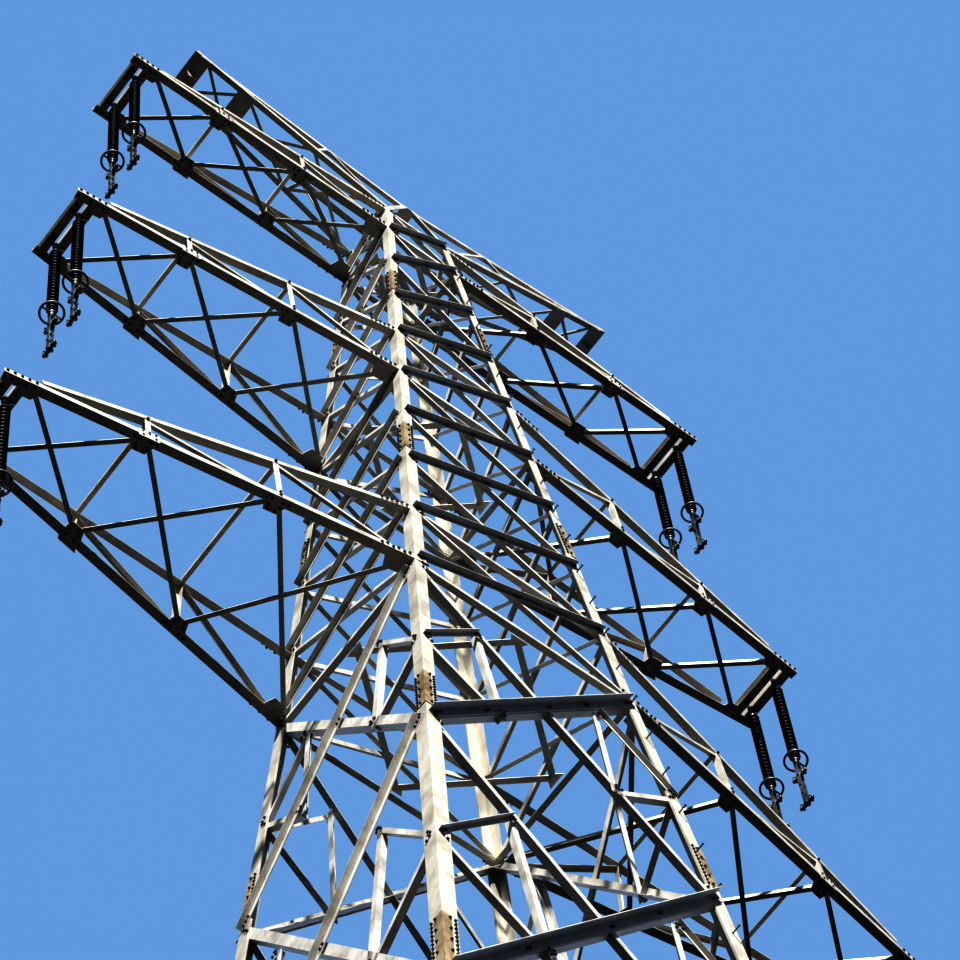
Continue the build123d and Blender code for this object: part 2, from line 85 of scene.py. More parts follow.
LEVELS = [WAIST]
for step in STEPS:
    LEVELS.append(LEVELS[-1] + step)
TOP = LEVELS[-1]
BASE_LEVELS = [WAIST]
for step in BASE_STEPS:
    BASE_LEVELS.insert(0, BASE_LEVELS[0] - step)
BASE_LEVELS.insert(0, LOWEST_JOINT)
# Each length of leg from the ground up: how high it reaches, and its flange.
LEG_LENGTHS = ((12.0, 0.128), (18.5, 0.106), (21.75, 0.094), (26.0, 0.079), (29.32, 0.070), (TOP, 0.062))
ARM_BOTTOMS = (LEVELS[0], LEVELS[4], LEVELS[8])
ARM_TOPS = (LEVELS[1], LEVELS[5], LEVELS[9])
ARM_NAMES = ("lower", "middle", "upper")
LEGS = {"left_front": (-1, -1), "right_front": (1, -1), "right_rear": (1, 1), "left_rear": (-1, 1)}
# Each side runs from its first leg to its second, and faces outward.
SIDES = {"front": ("left_front", "right_front", (0, -1)), "rear": ("left_rear", "right_rear", (0, 1)),
         "left": ("left_rear", "left_front", (-1, 0)), "right": ("right_rear", "right_front", (1, 0))}
UP = Vector((0, 0, 1))


def half(axis, z):
    """Half the tower's width (axis 0) or depth (axis 1) to the heels of its legs."""
    taper = LOWER_TAPER[axis] if z < WAIST else UPPER_TAPER[axis]
    return WAIST_HALF[axis] - taper * (z - WAIST)


def heel(sx, sy, z):
    """The outer corner of a leg at a height."""
    return Vector((sx * half(0, z), sy * half(1, z), z))


def leg_wall(z):
    """The thickness of the legs' angles at a height."""
    return LOWER_LEG_WALL if z < WAIST else UPPER_LEG_WALL


# Materials.


def linear(hex_colour):
    """An sRGB hex colour as linear RGBA."""
    parts = [int(hex_colour[i:i + 2], 16) / 255 for i in (0, 2, 4)]
    return [c / 12.92 if c <= 0.04045 else ((c + 0.055) / 1.055) ** 2.4 for c in parts] + [1]


def add_node(tree, kind, settings=None, **inputs):
    """Adds a node: settings are its own properties, inputs are values or sockets by name."""
    node = tree.nodes.new("ShaderNode" + kind)
    for name, value in (settings or {}).items():
        setattr(node, name, value)
    for name, value in inputs.items():
        socket = node.inputs[int(name[1:]) if name[0] == "_" else name.replace("_", " ")]
        if isinstance(value, bpy.types.NodeSocket):
            tree.links.new(value, socket)
        else:
            socket.default_value = value
    return node


def new_material(name):
    """A material with its node tree and its shader."""
    material = bpy.data.materials.new(name)
    material.use_nodes = True
    tree = material.node_tree
    return material, tree, tree.nodes["Principled BSDF"]


def ramp(tree, factor, stops):
    """A colour ramp over a factor. Stops are positions and hex colours."""
    node = add_node(tree, "ValToRGB", Fac=factor)
    elements = node.color_ramp.elements
    while len(elements) < len(stops):
        elements.new(0.5)
    for element, (position, colour) in zip(elements, stops):
        element.position = position
        element.color = linear(colour)
    return node.outputs["Color"]


def mix(tree, share, under, over, blend="MIX"):
    """A share of one colour laid over another."""
    return add_node(tree, "Mix", {"data_type": "RGBA", "blend_type": blend}, Factor=share, _6=under,
                    _7=over).outputs[2]


def zinc_steel(name, pale, middle, dark, stain, streaks_at=0.5, rough=(0.45, 0.75), metal=0.2):
    """Hot-dip zinc on rolled angles, gone dull: cloudy patches, rain streaks and a fine spangle."""
    material, tree, shader = new_material(name)
    place = add_node(tree, "TexCoord").outputs["Object"]
    # Rain streaks are about 30 mm wide and half a metre long, down the tower.
    tall = add_node(tree, "Mapping", Vector=place, Scale=(34, 34, 2.0)).outputs["Vector"]
    clouds = add_node(tree, "TexNoise", Vector=place, Scale=5.5, Detail=6, Roughness=0.62).outputs["Fac"]
    streaks = add_node(tree, "TexNoise", Vector=tall, Scale=1.0, Detail=5, Roughness=0.6).outputs["Fac"]
    # The spangle of the zinc is 5 to 10 mm across.
    spangle = add_node(tree, "TexVoronoi", Vector=place, Scale=120).outputs["Color"]
    base = ramp(tree, clouds, [(0.32, dark), (0.5, middle), (0.68, pale)])
    speckled = mix(tree, 0.16, base, spangle, "SOFT_LIGHT")
    share = add_node(tree, "MapRange", Value=streaks, From_Min=0.55, From_Max=0.74, To_Min=0.0,
                     To_Max=streaks_at).outputs["Result"]
    stained = mix(tree, share, speckled, linear(stain))
    tree.links.new(stained, shader.inputs["Base Color"])
    dull = add_node(tree, "MapRange", Value=clouds, From_Min=0.3, From_Max=0.7, To_Min=rough[0],
                    To_Max=rough[1]).outputs["Result"]
    tree.links.new(dull, shader.inputs["Roughness"])
    # Grain of the zinc's bloom, under 3 mm.
    grain = add_node(tree, "TexNoise", Vector=place, Scale=420, Detail=3).outputs["Fac"]
    grey = add_node(tree, "RGBToBW", Color=spangle).outputs["Val"]
    relief = add_node(tree, "Math", {"operation": "MULTIPLY_ADD"}, _0=grey, _1=0.3, _2=grain).outputs[0]
    bump = add_node(tree, "Bump", Height=relief, Strength=0.25, Distance=0.0006)
    tree.links.new(bump.outputs["Normal"], shader.inputs["Normal"])
    shader.inputs["Metallic"].default_value = metal
    return material


def silicone(name):
    """Moulded silicone rubber: satin dark brown, with dust on what faces up."""
    material, tree, shader = new_material(name)
    place = add_node(tree, "TexCoord").outputs["Object"]
    mottle = add_node(tree, "TexNoise", Vector=place, Scale=26, Detail=5).outputs["Fac"]
    brown = ramp(tree, mottle, [(0.3, "150e0c"), (0.55, "241713"), (0.75, "38241d")])
    normal = add_node(tree, "NewGeometry").outputs["Normal"]
    height = add_node(tree, "SeparateXYZ", Vector=normal).outputs["Z"]
    dust = add_node(tree, "MapRange", Value=height, From_Min=0.2, From_Max=1.0, To_Min=0.0,
                    To_Max=0.3).outputs["Result"]
    tree.links.new(mix(tree, dust, brown, linear("6b5a4d")), shader.inputs["Base Color"])
    shader.inputs["Roughness"].default_value = 0.5
    fine = add_node(tree, "TexNoise", Vector=place, Scale=300, Detail=2).outputs["Fac"]
    bump = add_node(tree, "Bump", Height=fine, Strength=0.15, Distance=0.0004)
    tree.links.new(bump.outputs["Normal"], shader.inputs["Normal"])
    return material


LEG_STEEL = zinc_steel("leg_pale_zinc_steel", "c8c4b9", "bcb8ac", "a8a498", "8d7e63", 0.4)
BRACE_STEEL = zinc_steel("bracing_weathered_zinc_steel", "cfcdc6", "c3c0b8", "aba89f", "80735b", 0.4)
ARM_STEEL = zinc_steel("crossarm_weathered_zinc_steel", "c2bfb6", "b5b1a7", "9d998f", "73664f", 0.4)
FOOT_STEEL = zinc_steel("foot_weathered_zinc_steel", "98958d", "85827a", "6d6a63", "5a4b39", 0.5)
BOLT_STEEL = zinc_steel("bolt_dark_zinc_steel", "4c4c48", "383836", "262524", "32261b", 0.6)
SPLICE_STEEL = zinc_steel("splice_stained_zinc_steel", "aa9e84", "938367", "725d40", "4a3722", 0.85)
FITTING_STEEL = zinc_steel("fitting_forged_zinc_steel", "85888a", "66696b", "484b4d", "41382f", 0.4,
                           (0.35, 0.6), 0.6)
SILICONE = silicone("insulator_brown_silicone")
# What a piece's finishes mean: its own steel, its bolts, its splices, and a paler copy of the steel that
# paints sunlight on the parts that shine palest.
STEELWORK = (BRACE_STEEL, BOLT_STEEL, SPLICE_STEEL, LEG_STEEL)
PLAIN, BOLTED, SPLICED, PAINTED_LIGHT_PALE = range(4)

for node_name, node_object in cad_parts.items():
    finish = ARM_STEEL
    if node_name.startswith("leg_"):
        finish = LEG_STEEL
    elif node_name.startswith("bracing_") or node_name == "level_frames":
        finish = BRACE_STEEL
    elif node_name == "feet":
        finish = FOOT_STEEL
    elif node_name.endswith("insulators"):
        finish = SILICONE
    elif node_name.endswith("fittings") or node_name == "string_lugs":
        finish = FITTING_STEEL
    for material_slot in node_object.material_slots:
        material_slot.material = finish


# Meshes: bars, plates, bolts and turned shapes are gathered into one piece at a time.


class Work:
    """The points and faces of a piece, gathered bar by bar."""

    def __init__(self):
        self.points = []
        self.faces = []
        self.finishes = []
        self.rounded = []

    def add(self, points, faces, finish=PLAIN, rounded=False):
        first = len(self.points)
        self.points += [tuple(point) for point in points]
        self.faces += [[first + i for i in face] for face in faces]
        self.finishes += [finish] * len(faces)
        self.rounded += [rounded] * len(faces)


def new_piece(name, work, body="tower", finishes=STEELWORK, nodes=()):
    """Makes one object of what was gathered, rides it on a body and lets it stand for its CAD nodes."""
    mesh = bpy.data.meshes.new(name)
    mesh.from_pydata(work.points, [], work.faces)
    for finish in finishes:
        mesh.materials.append(finish)
    mesh.polygons.foreach_set("material_index", work.finishes)
    mesh.polygons.foreach_set("use_smooth", work.rounded)
    shell = bmesh.new()
    shell.from_mesh(mesh)
    bmesh.ops.recalc_face_normals(shell, faces=shell.faces)
    shell.to_mesh(mesh)
    shell.free()
    piece = bpy.data.objects.new(name, mesh)
    bpy.context.scene.collection.objects.link(piece)
    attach(piece, body)
    if nodes:
        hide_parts(*nodes)


def prism(work, start, end, finish=PLAIN):
    """Joins two outlines with flat sides and closes both ends."""
    n = len(start)
    sides = [(i, (i + 1) % n, n + (i + 1) % n, n + i) for i in range(n)]
    work.add([*start, *end], [*sides, range(n)[::-1], range(n, 2 * n)], finish)


def square_to(run, direction):
    """The part of a direction that is square to a run."""
    return (direction - run * direction.dot(run)).normalized()


def angle(work, start, end, first, second, width, thickness, finish=PLAIN):
    """A rolled angle from start to end: its flanges go from the heel towards first and second."""
    run = (end - start).normalized()
    a = square_to(run, first)
    b = square_to(run, second)
    t = thickness
    outline = [(0, 0), (width, 0), (width, t), (t, t), (t, width), (0, width)]
    section = [a * u + b * v for u, v in outline]
    prism(work, [start + p for p in section], [end + p for p in section], finish)


def plate(work, corners, out, thickness, finish=PLAIN):
    """A flat plate that thickens from its corners towards out."""
    prism(work, corners, [corner + out * thickness for corner in corners], finish)


def spots(base, first, second, pairs):
    """Points that lie each pair of distances from a base, along two directions."""
    return [base + first * u + second * v for u, v in pairs]


def round_outline(centre, along, radius, count):
    """Points round a circle that is square to along."""
    along = along.normalized()
    side = along.orthogonal().normalized()
    other = along.cross(side)
    angles = [math.tau * i / count for i in range(count)]
    return [centre + (side * math.cos(a) + other * math.sin(a)) * radius for a in angles]


def nut(work, place, out, radius, height, finish=PLAIN):
    """A hexagon that stands on a place."""
    plate(work, round_outline(place, out, radius, 6), out, height, finish)


BOLT_RADIUS = 0.0085


def bolt(work, place, out, radius=BOLT_RADIUS):
    """A hexagon head on a washer."""
    out = out.normalized()
    nut(work, place, out, radius * 1.3, 0.002, BOLTED)
    nut(work, place + out * 0.002, out, radius, radius, BOLTED)


def bolts(work, start, end, count, out, radius=BOLT_RADIUS):
    """A row of bolts, evenly spread from start to end."""
    for i in range(count):
        bolt(work, start.lerp(end, i / (count - 1) if count > 1 else 0.5), out, radius)


def turned(work, centre, along, profile, count, finish=PLAIN, closed=False):
    """A turned shape: profile gives radius and distance along the axis."""
    rings = [round_outline(centre + along * d, along, r, count) for r, d in profile]
    steps = list(range(len(rings) - 1))
    faces = [(k * count + i, k * count + (i + 1) % count, (k + 1) * count + (i + 1) % count,
              (k + 1) * count + i) for k in steps for i in range(count)]
    if closed:
        last = len(rings) - 1
        faces += [(last * count + i, last * count + (i + 1) % count, (i + 1) % count, i)
                  for i in range(count)]
    work.add([p for ring in rings for p in ring], faces, finish, True)
    if not closed:
        work.add([*rings[0], *rings[-1]], [range(count)[::-1], range(count, 2 * count)], finish)


# Bracing of the body's four sides.


def on_side(side, across, z):
    """A point on a side's outer face: across runs from -1 at its first leg to 1 at its second."""
    first, second, out = SIDES[side]
    return heel(*LEGS[first], z).lerp(heel(*LEGS[second], z), (across + 1) / 2)


def side_normal(side, z):
    """The way a side faces at a height: outward, and a little up."""
    first, second, out = SIDES[side]
    along = heel(*LEGS[second], z) - heel(*LEGS[first], z)
    lean = heel(*LEGS[first], z + 0.1) - heel(*LEGS[first], z)
    normal = along.cross(lean).normalized()
    return normal if normal.dot(Vector((*out, 0))) > 0 else -normal


def inset(side, z, distance):
    """How far in from a leg's heel a distance lies, on the scale from -1 to 1."""
    span = (on_side(side, 1, z) - on_side(side, -1, z)).length
    return 1 - 2 * distance / span


# Bolts in the bracing: how far in from a bar's end, how far apart there, and half that at crossings.
END_DISTANCE = 0.022
BOLT_PITCH = 0.034
CROSSING_HALF = 0.018
TWIN_HALF = 0.02


def side_bar(work, side, start, end, width, thickness, outside, end_bolts=2):
    """A bar of a side's bracing, on its legs' outer faces or inside them, with its end bolts.

    Its flat flange lies on the side. The other stands outward at the upper edge of a bar that
    lies outside, and inward at the lower edge of one that lies inside."""
    z = (start[1] + end[1]) / 2
    out = side_normal(side, z)
    a, b = on_side(side, *start), on_side(side, *end)
    run = (b - a).normalized()
    rise = out.cross(run)
    if (rise.z < 0) == outside:
        rise = -rise
    shift = rise * (width / 2)
    facing = out
    if not outside:
        shift -= out * leg_wall(z)
        facing = -out
    angle(work, a + shift, b + shift, -rise, facing, width, thickness)
    proud = out * (thickness if outside else 0.0)
    for end_point, way in ((a, run), (b, -run)):
        for i in range(end_bolts):
            bolt(work, end_point + way * (END_DISTANCE + BOLT_PITCH * i) + proud, out)
    return a, b, run, out


def crossing(side, low, high):
    """The height at which the diagonals of a bay cross."""
    wide = (on_side(side, 1, low) - on_side(side, -1, low)).length
    narrow = (on_side(side, 1, high) - on_side(side, -1, high)).length
    return low + (high - low) * wide / (wide + narrow)


def bay(work, side, low, high, outer_width, inner_width, thickness, heel_gap, twin=0):
    """One bay: the diagonal that rises to the second leg lies outside, the other inside.

    A twin is the second angle of a double diagonal, inside the legs."""
    end_bolts = 2 if low >= WAIST else 3
    lows, highs = inset(side, low, heel_gap), inset(side, high, heel_gap)
    up_to_second = ((-lows, low), (highs, high))
    up_to_first = ((lows, low), (-highs, high))
    a, b, run, out = side_bar(work, side, *up_to_second, outer_width, thickness, True, end_bolts)
    side_bar(work, side, *up_to_first, inner_width, thickness, False, end_bolts)
    skin = out * thickness
    if twin:
        side_bar(work, side, *up_to_second, twin, thickness, False, 0)
        for share in (0.25, 0.75):
            place = a.lerp(b, share) + skin
            bolts(work, place - run * TWIN_HALF, place + run * TWIN_HALF, 2, out)
    cross = on_side(side, 0, crossing(side, low, high)) + skin
    bolts(work, cross - run * CROSSING_HALF, cross + run * CROSSING_HALF, 2, out)


def on_diagonal(side, low, high, heel_gap, hand, share):
    """A point on the diagonal that rises from one hand's leg, a share of the way up it."""
    start = (hand * inset(side, low, heel_gap), low)
    end = (-hand * inset(side, high, heel_gap), high)
    return tuple(p + (q - p) * share for p, q in zip(start, end))


def stiffeners(work, side, low, high):
    """The short bars that stiffen a tall bay: level to the leg's middle, and two down to one diagonal."""
    middle = (low + high) / 2
    outside = side in ("front", "rear")
    for hand in (-1, 1):
        at_leg = (hand * inset(side, middle, LEVEL_INSET), middle)
        above = on_diagonal(side, low, high, LOWER_HEEL_GAP, -hand, 0.76)
        below = on_diagonal(side, low, high, LOWER_HEEL_GAP, hand, 0.29)
        side_bar(work, side, at_leg, above, LEVEL_STIFFENER, STIFFENER_THICKNESS, outside)
        side_bar(work, side, at_leg, below, STEEP_STIFFENER, STIFFENER_THICKNESS, False)
        side_bar(work, side, above, below, STEEP_STIFFENER, STIFFENER_THICKNESS, False)


UPPER_THICKNESS = 0.004
LOWER_THICKNESS = 0.005
STIFFENER_THICKNESS = 0.004
# How far the outermost joints lie from the waist and the top, and the level bars' ends from the heels.
WAIST_GAP = 0.05
TOP_GAP = 0.025
LEVEL_INSET = 0.03
# How far in from the heels the diagonals' middle lines end.
UPPER_HEEL_GAP = 0.026
LOWER_HEEL_GAP = 0.040
UPPER_OUTER_FLANGE = 0.041
UPPER_INNER_FLANGE = 0.032
TIE_FLANGE = 0.040
LEVEL_STIFFENER = 0.032
STEEP_STIFFENER = 0.040
# Flanges of the diagonals of each bay below the waist, from the ground up: on the front and rear
# the outer one and the inner one, and on the left and right the outer one and the inner one.
FRONT_FLANGES = ((0.072, 0.055), (0.068, 0.052), (0.064, 0.050), (0.060, 0.046), (0.058, 0.044))
SIDE_FLANGES = ((0.055, 0.075), (0.052, 0.072), (0.048, 0.070), (0.045, 0.066), (0.042, 0.064))
# The inner angle of a double diagonal is this much narrower than the outer one.
TWIN_LESS = 0.008

upper_joints = [WAIST + WAIST_GAP, *LEVELS[1:-1], TOP - TOP_GAP]
lower_joints = [*BASE_LEVELS[:-1], WAIST - WAIST_GAP]
lower_bays = list(zip(lower_joints, lower_joints[1:]))
for side in SIDES:
    double = side in ("front", "rear")
    upper_side = Work()
    for low, high in zip(upper_joints, upper_joints[1:]):
        bay(upper_side, side, low, high, UPPER_OUTER_FLANGE, UPPER_INNER_FLANGE, UPPER_THICKNESS,
            UPPER_HEEL_GAP)
    tied = (*ARM_BOTTOMS, *ARM_TOPS[:2], TOP - 0.03) if double else ARM_BOTTOMS
    for z in tied:
        u = inset(side, z, LEVEL_INSET)
        side_bar(upper_side, side, (-u, z), (u, z), TIE_FLANGE, UPPER_THICKNESS, False)
    new_piece("upper_bracing_" + side, upper_side, nodes=["bracing_upper_" + side])
    lower_side = Work()
    for (low, high), (outer, inner) in zip(lower_bays, FRONT_FLANGES if double else SIDE_FLANGES):
        twin = outer - TWIN_LESS if double else 0
        bay(lower_side, side, low, high, outer, inner, LOWER_THICKNESS, LOWER_HEEL_GAP, twin)
        stiffeners(lower_side, side, low, high)
    new_piece("lower_bracing_" + side, lower_side, nodes=["bracing_lower_" + side])

# Flat struts between the middles of the sides, at the height of each crossarm, with corner plates.
STRUT_WIDTH = 0.040
frames = Work()
for z in ARM_BOTTOMS:
    x = half(0, z) - UPPER_LEG_WALL - 0.05
    y = half(1, z) - UPPER_LEG_WALL - 0.05
    corners = [Vector((x, 0, z)), Vector((0, y, z)), Vector((-x, 0, z)), Vector((0, -y, z))]
    for a, b in zip(corners, corners[1:] + corners[:1]):
        inward = -(a + b)
        inward.z = 0
        edge = square_to((b - a).normalized(), inward) * STRUT_WIDTH
        plate(frames, [a, b, b + edge, a + edge], UP, 0.004)
    for corner in corners:
        out = Vector((corner.x, corner.y, 0)).normalized()
        along = UP.cross(out)
        wide = ((-0.063, 0.0), (-0.027, -0.05), (0.027, -0.05), (0.063, 0.0))
        plate(frames, spots(corner, along, out, wide), UP, -0.005)
new_piece("waist_and_arm_frames", frames, nodes=["level_frames"])


# Legs, with their splices, anchor nuts and step bolts.

for leg_name, (sx, sy) in LEGS.items():
    leg = Work()
    low = PLATE_TOP
    for high, flange in LEG_LENGTHS:
        # The length that passes the waist bends there.
        stops = [low, WAIST, high] if low < WAIST < high else [low, high]
        for a, b in zip(stops, stops[1:]):
            angle(leg, heel(sx, sy, a), heel(sx, sy, b), Vector((-sx, 0, 0)), Vector((0, -sy, 0)), flange,
                  leg_wall(a))
        low = high
    new_piece("leg_angle_" + leg_name, leg, finishes=(LEG_STEEL,), nodes=["leg_" + leg_name])

SPLICE_THICKNESS = 0.005
# How much of the leg's flange a cover takes up.
COVER_SHARE = 0.62
SPLICE_BOLT_RADIUS = 0.0078
# The splices above this height are the short ones.
SHORT_SPLICES_FROM = 21
SHORT_SPLICE = 0.46
LONG_SPLICE = 0.56


def splice(work, sx, sy, z, flange):
    """A stained cover angle over the heels, and two columns of bolts down each flange."""
    along_x, along_y = Vector((-sx, 0, 0)), Vector((0, -sy, 0))
    length = SHORT_SPLICE if z > SHORT_SPLICES_FROM else LONG_SPLICE
    a, b = heel(sx, sy, z + 0.005), heel(sx, sy, z + length)
    corner = Vector((sx, sy, 0)) * SPLICE_THICKNESS
    angle(work, a + corner, b + corner, along_x, along_y, flange * COVER_SHARE, SPLICE_THICKNESS, SPLICED)
    for out, across in ((-along_x, along_y), (-along_y, along_x)):
        # The outer column passes beside the cover and the inner one through it.
        for column, proud, shift, count in ((0.82, 0.0, 0.0, 12), (0.45, SPLICE_THICKNESS, 0.02, 5)):
            place = across * flange * column + out * proud
            bolts(work, a.lerp(b, 0.04 + shift) + place, a.lerp(b, 0.96 - shift) + place, count, out,
                  SPLICE_BOLT_RADIUS)


def anchor_nut(work, place):
    """A washer, a nut and the end of an anchor bolt."""
    turned(work, place, UP, [(0.022, 0), (0.022, 0.004)], 20, BOLTED)
    nut(work, place + UP * 0.004, UP, 0.019, 0.019, BOLTED)
    turned(work, place, UP, [(0.011, 0.02), (0.011, 0.05), (0.009, 0.054)], 14, BOLTED)


fastenings = Work()
for sx, sy in LEGS.values():
    for lower_length, upper_length in zip(LEG_LENGTHS, LEG_LENGTHS[1:]):
        splice(fastenings, sx, sy, lower_length[0], upper_length[1])
    for bx in (-1, 1):
        for by in (-1, 1):
            x, y = sx * half(0, 0) + bx * ANCHOR_HALF, sy * half(1, 0) + by * ANCHOR_HALF
            anchor_nut(fastenings, Vector((x, y, PLATE_TOP)))
new_piece("leg_splices_and_anchor_nuts", fastenings)

# Step bolts stick out of the two faces of one leg by turns.
STEPS_START = 1.9
STEP_PITCH = 0.225
STEP_OUTLINE = ((0.0075, 0), (0.0075, 0.003), (0.0045, 0.0035), (0.0045, 0.055), (0.0085, 0.0555),
                (0.0085, 0.060))
steps = Work()
sx, sy = LEGS["right_front"]
z = STEPS_START
on_right = False
while z < TOP - 0.5:
    z += STEP_PITCH
    on_right = not on_right
    out = Vector((sx, 0, 0)) if on_right else Vector((0, sy, 0))
    across = Vector((0, -sy, 0)) if on_right else Vector((-sx, 0, 0))
    turned(steps, heel(sx, sy, z) + across * 0.045, out, STEP_OUTLINE, 8, BOLTED)
new_piece("step_bolts", steps)


# Crossarms.

CHORD = 0.058
UPPER_CHORD = 0.050
POST = 0.036
SIDE_DIAGONAL = 0.032
BOTTOM_DIAGONAL = 0.030
HEAD_TIE = 0.028
CHORD_THICKNESS = 0.005
ARM_BAR_THICKNESS = 0.004
GUSSET_THICKNESS = 0.006
CHANNEL_FLANGE = 0.058
CHANNEL_HEIGHT = 0.075
CHANNEL_WALL = 0.005
# Half the slit of light between the webs of the two channels at a tip.
CHANNEL_HALF_GAP = 0.0155
# How far in from the chords' heels the bottom bracing ends.
BOTTOM_INSET = 0.045


def arm_gusset(work, base, run, inward, pairs):
    """A level gusset just above the lower chord's level flange."""
    corners = spots(base + UP * (CHORD_THICKNESS + 0.0005), run, inward, pairs)
    plate(work, corners, UP, GUSSET_THICKNESS)


def post_joint(work, foot, run, inward):
    """The gusset at a post's foot, with its bolts seen from below."""
    arm_gusset(work, foot, run, inward, ((-0.085, 0), (0.085, 0), (0.0425, 0.115), (-0.0425, 0.115)))
    for place in spots(foot, run, inward, ((-0.07, 0.03), (-0.035, 0.03), (0.035, 0.03), (0.07, 0.03))):
        bolt(work, place, -UP)
    on_gusset = ((-0.035, 0.07), (0.035, 0.07), (-0.022, 0.098), (0.022, 0.098))
    for place in spots(foot + UP * CHORD_THICKNESS, run, inward, on_gusset):
        bolt(work, place, -UP)


def outer_cover(work, foot, run, lean, outward):
    """A plate with four bolts over the lower chord's outer flange, in the paler steel that paints
    sunlight on it.
    """
    corners = spots(foot, run, lean, ((-0.065, -0.044), (0.065, -0.044), (0.065, 0.062), (-0.065, 0.062)))
    # The paler steel of this plate is painted sunlight.
    plate(work, corners, outward, 0.005, PAINTED_LIGHT_PALE)
    four = ((-0.04, 0.04), (0.04, 0.04), (-0.04, -0.02), (0.04, -0.02))
    for place in spots(foot + outward * 0.005, run, lean, four):
        bolt(work, place, outward, 0.006)


def arm_side(work, number, hand, sy):
    """One leaning side of a crossarm. Gives the foot and head of each post, from the body outward."""
    low = ARM_BOTTOMS[number]
    root, upper_root = heel(hand, sy, low), heel(hand, sy, ARM_TOPS[number])
    tip = Vector((hand * REACHES[number], sy * TIP_HALF, low))
    rise = upper_root - root
    chord = tip - root
    run = chord.normalized()
    lean = square_to(run, rise)
    outward = chord.cross(rise).normalized()
    if outward.y * sy < 0:
        outward = -outward
    inward = Vector((0, -sy, 0))
    angle(work, root.lerp(tip, -0.03), root.lerp(tip, 0.996), inward, rise, CHORD, CHORD_THICKNESS)
    # The upper chord lies inside the lower one and stops at the channels.
    head = upper_root - outward * CHORD_THICKNESS - lean * UPPER_CHORD
    end_share = 1 - 0.25 / chord.length
    angle(work, head.lerp(tip, -0.03), head.lerp(tip, end_share), rise, inward, UPPER_CHORD,
          CHORD_THICKNESS)
    posts = [(root, upper_root)]
    for share in STATIONS:
        # A post stands square to the lower chord, in the side's own plane.
        foot = root.lerp(tip, share)
        posts.append((foot, foot + lean * (upper_root.lerp(tip, share) - foot).dot(lean)))
    tip_foot = root.lerp(tip, 1 - 0.20 / chord.length)
    posts.append((tip_foot, tip_foot))
    skin = outward * -CHORD_THICKNESS
    for i in (1, 2):
        foot, top = posts[i]
        low_end = foot + lean * (CHORD * 0.35) + skin
        high_end = top - lean * (UPPER_CHORD * 0.3) + skin
        half_post = run * (POST / 2)
        # The posts take the paler steel: painted sunlight.
        angle(work, low_end - half_post, high_end - half_post, run, -outward, POST, ARM_BAR_THICKNESS,
              PAINTED_LIGHT_PALE)
        previous = posts[i - 1][0] + lean * (CHORD * 0.6) + skin * 1.8
        if i == 1:
            previous += run * 0.06
        angle(work, top - lean * 0.03 + skin * 1.8, previous, -lean, -outward, SIDE_DIAGONAL,
              ARM_BAR_THICKNESS)
        for share in (0.02, 0.10):
            bolt(work, low_end.lerp(high_end, share) - skin, outward)
        bolt(work, high_end - lean * 0.01 - skin, outward)
        post_joint(work, foot, run, inward)
        if i == 2:
            outer_cover(work, foot, run, lean, outward)
    # Two rows of bolts at the root of each chord, and one along each of its flanges at the tip.
    upper_run = (tip - upper_root).normalized()
    for base, line, flange in ((root, run, lean * CHORD), (upper_root, upper_run, -lean * UPPER_CHORD)):
        for k in range(6):
            row = flange * (0.35 if k % 2 else 0.68)
            bolt(work, base + line * (0.03 + 0.036 * k) + row + outward * 0.001, outward)
    for k in range(5):
        place = root.lerp(tip, 1 - (0.03 + 0.045 * k) / chord.length)
        bolt(work, place + lean * CHORD * 0.55, outward)
        bolt(work, place + inward * CHORD * 0.5, -UP)
    arm_gusset(work, tip_foot, run, inward, ((-0.10, 0), (0.05, 0), (0.05, 0.10), (-0.03, 0.10)))
    arm_gusset(work, root, run, inward, ((0.02, 0), (0.18, 0), (0.12, 0.13), (0.02, 0.13)))
    return posts


def tip_channels(work, number, hand):
    """Two channels back to back across the tip. The strings hang between their webs."""
    middle = hand * (REACHES[number] - STRING_BACK)
    base = ARM_BOTTOMS[number] + CHORD_THICKNESS
    end = TIP_HALF - 0.004
    f, h, w = CHANNEL_FLANGE, CHANNEL_HEIGHT, CHANNEL_WALL
    outline = ((0, 0), (f, 0), (f, w), (w, w), (w, h - w), (f, h - w), (f, h), (0, h))
    for way in (-1, 1):
        web = Vector((middle + way * CHANNEL_HALF_GAP, -end, base))
        plate(work, spots(web, Vector((way, 0, 0)), UP, outline), Vector((0, 1, 0)), 2 * end)
        for sy in (-1, 1):
            for beside in (-0.045, 0.045):
                bolt(work, Vector((web.x + way * 0.03, sy * (STRING_HALF + beside), base)), -UP)


def crossarm(number, hand, arm_name, node_name):
    """A crossarm: two leaning sides, crossed bottom bracing, ties and the channels at the tip."""
    work = Work()
    posts = {sy: arm_side(work, number, hand, sy) for sy in (-1, 1)}
    bar_flange = Vector((1, 0, 0)) if hand > 0 else Vector((0, -1, 0))
    for i in range(3):
        for sy in (-1, 1):
            # The bars cross one over the other.
            lift = CHORD_THICKNESS + 0.007 + (0.005 if sy > 0 else 0.0)
            a = posts[sy][i][0] + Vector((0, -sy * BOTTOM_INSET, lift))
            b = posts[-sy][i + 1][0] + Vector((0, sy * BOTTOM_INSET, lift))
            angle(work, a, b, bar_flange, UP, BOTTOM_DIAGONAL, ARM_BAR_THICKNESS)
    for i in (1, 2):
        a = posts[-1][i][1] + Vector((0, 0.012, -0.032))
        b = posts[1][i][1] + Vector((0, -0.012, -0.032))
        angle(work, a, b, Vector((-hand, 0, 0)), UP, HEAD_TIE, ARM_BAR_THICKNESS)
    tip_channels(work, number, hand)
    new_piece(arm_name, work, finishes=(ARM_STEEL, BOLT_STEEL, SPLICE_STEEL, LEG_STEEL),
              nodes=[node_name])


# Insulator strings.


SHED_PAIRS = 20
LARGE_SHED = 0.0380
SMALL_SHED = 0.0290
ALONG_LINE = Vector((0, 1, 0))


